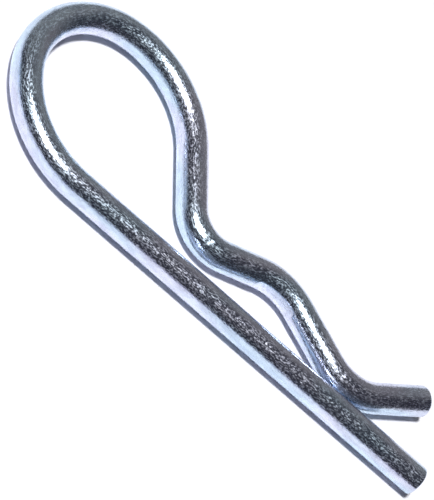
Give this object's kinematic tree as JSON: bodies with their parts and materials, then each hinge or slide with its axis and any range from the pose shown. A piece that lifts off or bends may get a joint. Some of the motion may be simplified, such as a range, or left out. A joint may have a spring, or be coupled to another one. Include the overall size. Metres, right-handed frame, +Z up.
{
  "type": "hairpin cotter clip",
  "caption": "Spring wire hitch pin lock: a straight leg for the pin's cross hole and a wavy sprung leg that hugs the pin, joined by a round loop.",
  "frame": {"origin": "centre of the bounding box's footprint, on the surface that the clip lies on", "axes": "the clip lies flat; +X along the straight leg from the loop to the leg ends, +Y from the straight leg to the wavy leg, +Z up through the thickness of the wire"},
  "size_m": [0.0676, 0.0262, 0.0038],
  "materials": {
    "zinc_plated_wire": "bright clear zinc plate on drawn spring wire, with fine lengthwise draw lines"
  },
  "bodies": {
    "straight_leg": {"straight_leg": "zinc_plated_wire"},
    "sprung_leg": {"sprung_leg": "zinc_plated_wire"}
  },
  "joints": [
    {"name": "leg_spring", "type": "hinge", "parent": "straight_leg", "child": "sprung_leg", "pos_m": [-0.0304, 0.0062, 0.00188], "axis": [0, 0, 1], "range_deg": [0, 7], "stiffness_Nm_per_rad": 22}
  ]
}
